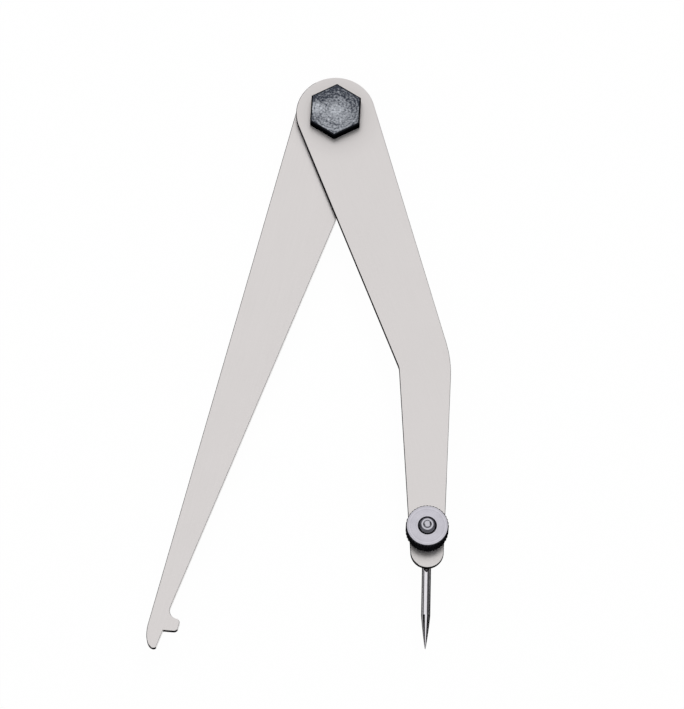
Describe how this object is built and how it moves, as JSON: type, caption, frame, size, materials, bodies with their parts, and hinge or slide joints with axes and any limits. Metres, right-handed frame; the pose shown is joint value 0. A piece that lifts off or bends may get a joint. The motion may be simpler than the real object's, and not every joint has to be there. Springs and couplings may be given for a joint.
{
  "type": "odd-leg caliper",
  "caption": "Odd-leg caliper: a bent leg with a clamped scriber needle and a straight leg with a stepped heel, on a firm pivot.",
  "frame": {"origin": "on the pivot axis, in the back face of the pivot nut, on which the caliper lies", "axes": "+Z along the pivot axis, out of the front face; the points lie towards -Y and the shank of the scriber leg is parallel to Y; +X from the heel leg towards the scriber leg"},
  "size_m": [0.0767, 0.156, 0.0153],
  "materials": {
    "satin_steel": "fine satin grind on rolled steel sheet, edges lightly broken",
    "blackened_steel": "black oxide over turned steel",
    "brass_sheet": "rolled brass sheet",
    "bright_steel": "bright turned steel",
    "knurled_steel": "turned face with a straight knurl on the rim",
    "hardened_steel": "hardened and polished rod with a ground point"
  },
  "bodies": {
    "scriber_leg": {"front_leg": "satin_steel", "pivot_bolt": "blackened_steel", "friction_washer": "brass_sheet", "thrust_washer": "bright_steel", "disc_spring": "blackened_steel", "pivot_nut": "blackened_steel"},
    "heel_leg": {"rear_leg": "satin_steel"},
    "clamp_nut": {"knurled_nut": "knurled_steel"},
    "seat": {"needle_seat": "bright_steel"},
    "stud": {"clamp_stud": "bright_steel"},
    "needle": {"scriber_needle": "hardened_steel"}
  },
  "joints": [
    {"name": "leg_hinge", "type": "hinge", "parent": "scriber_leg", "child": "heel_leg", "pos_m": [0, 0, 0.0063], "axis": [0, 0, -1], "range_deg": [-22.5, 150]},
    {"name": "nut_spin", "type": "hinge", "parent": "scriber_leg", "child": "clamp_nut", "pos_m": [0.02305, -0.11573, 0.009], "axis": [0, 0, 1], "range_deg": [0, 540]},
    {"name": "needle_swivel", "type": "hinge", "parent": "scriber_leg", "child": "seat", "pos_m": [0.02305, -0.11573, 0.0074], "axis": [0, 0, -1], "range_deg": [-5, 5]},
    {"name": "stud_release", "type": "slide", "parent": "seat", "child": "stud", "axis": [0, 0, -1], "range_m": [0, 0.00105]},
    {"name": "needle_slide", "type": "slide", "parent": "stud", "child": "needle", "axis": [0.0244, 0.9997, 0], "range_m": [-0.012, 0.015]}
  ],
  "couplings": [
    {"joint": "nut_spin", "follows": "stud_release", "rad_per_m": 8975.9}
  ]
}
